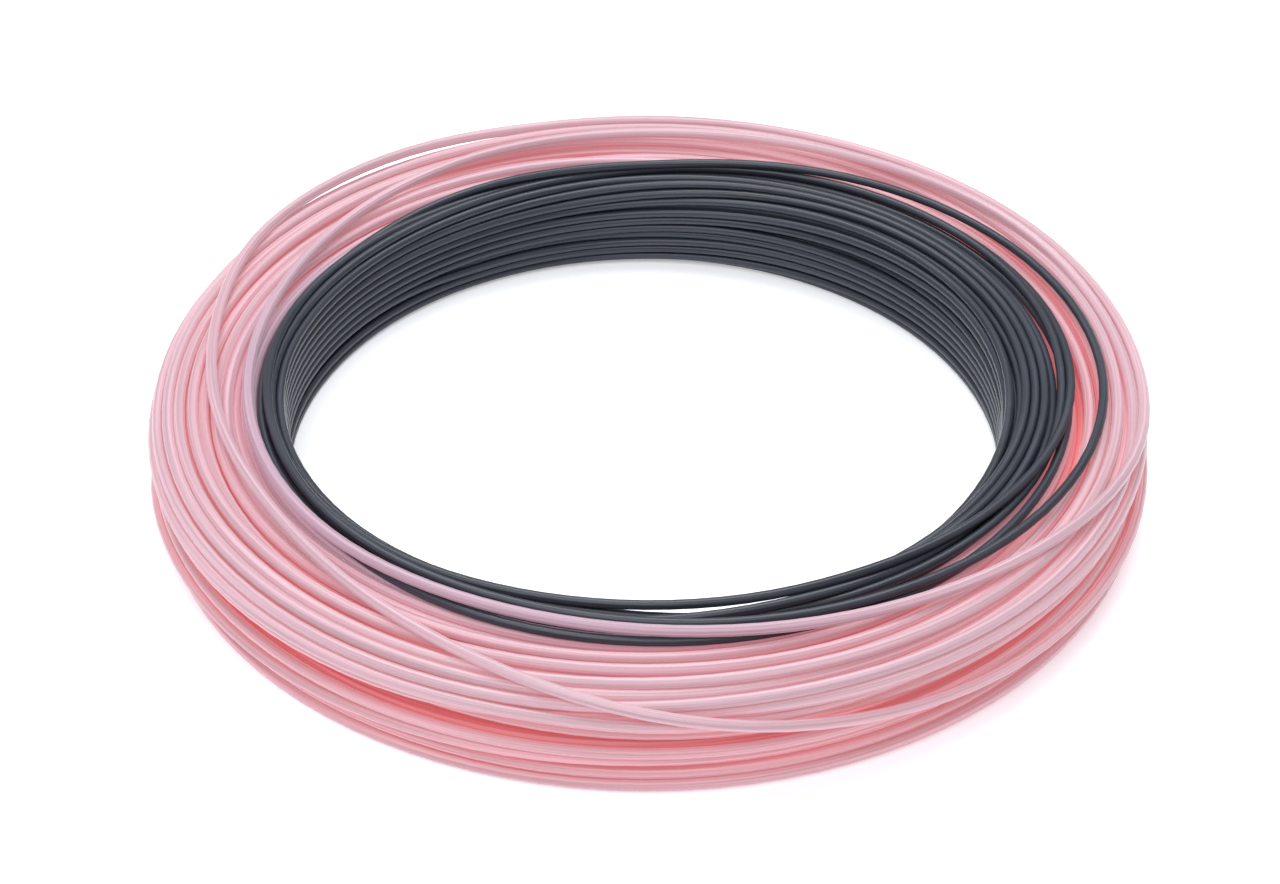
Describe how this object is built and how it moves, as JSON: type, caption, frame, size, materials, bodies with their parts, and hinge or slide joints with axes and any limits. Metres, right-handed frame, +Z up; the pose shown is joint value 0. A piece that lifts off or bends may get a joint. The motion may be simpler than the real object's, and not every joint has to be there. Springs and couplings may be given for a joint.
{
  "type": "fly line coil",
  "caption": "Loose coil of two-tone fly line laid flat without its spool: translucent pink running line outside, dark sinking head inside, welded loop at each end",
  "frame": {"origin": "middle of the whole coil's bounding box in plan, on the surface that it lies on", "axes": "+Z up out of the surface, along the coil's axis; +X to the right and +Y away, seen from the front of the coil"},
  "size_m": [0.1344, 0.1362, 0.0162],
  "materials": {
    "running_line": "milky translucent pink PVC coating, satin",
    "head": "charcoal tungsten-filled polyurethane coating, satin"
  },
  "bodies": {
    "root": {"running_line_coil": "running_line", "running_line_outer_turn": "running_line", "running_line_upper_turn": "running_line", "running_line_tail": "running_line", "running_line_loop_weld": "running_line", "running_line_end_loop": "running_line", "head_coil": "head", "head_upper_turn": "head", "head_tail": "head", "head_loop_weld": "head", "head_end_loop": "head"}
  },
  "joints": []
}
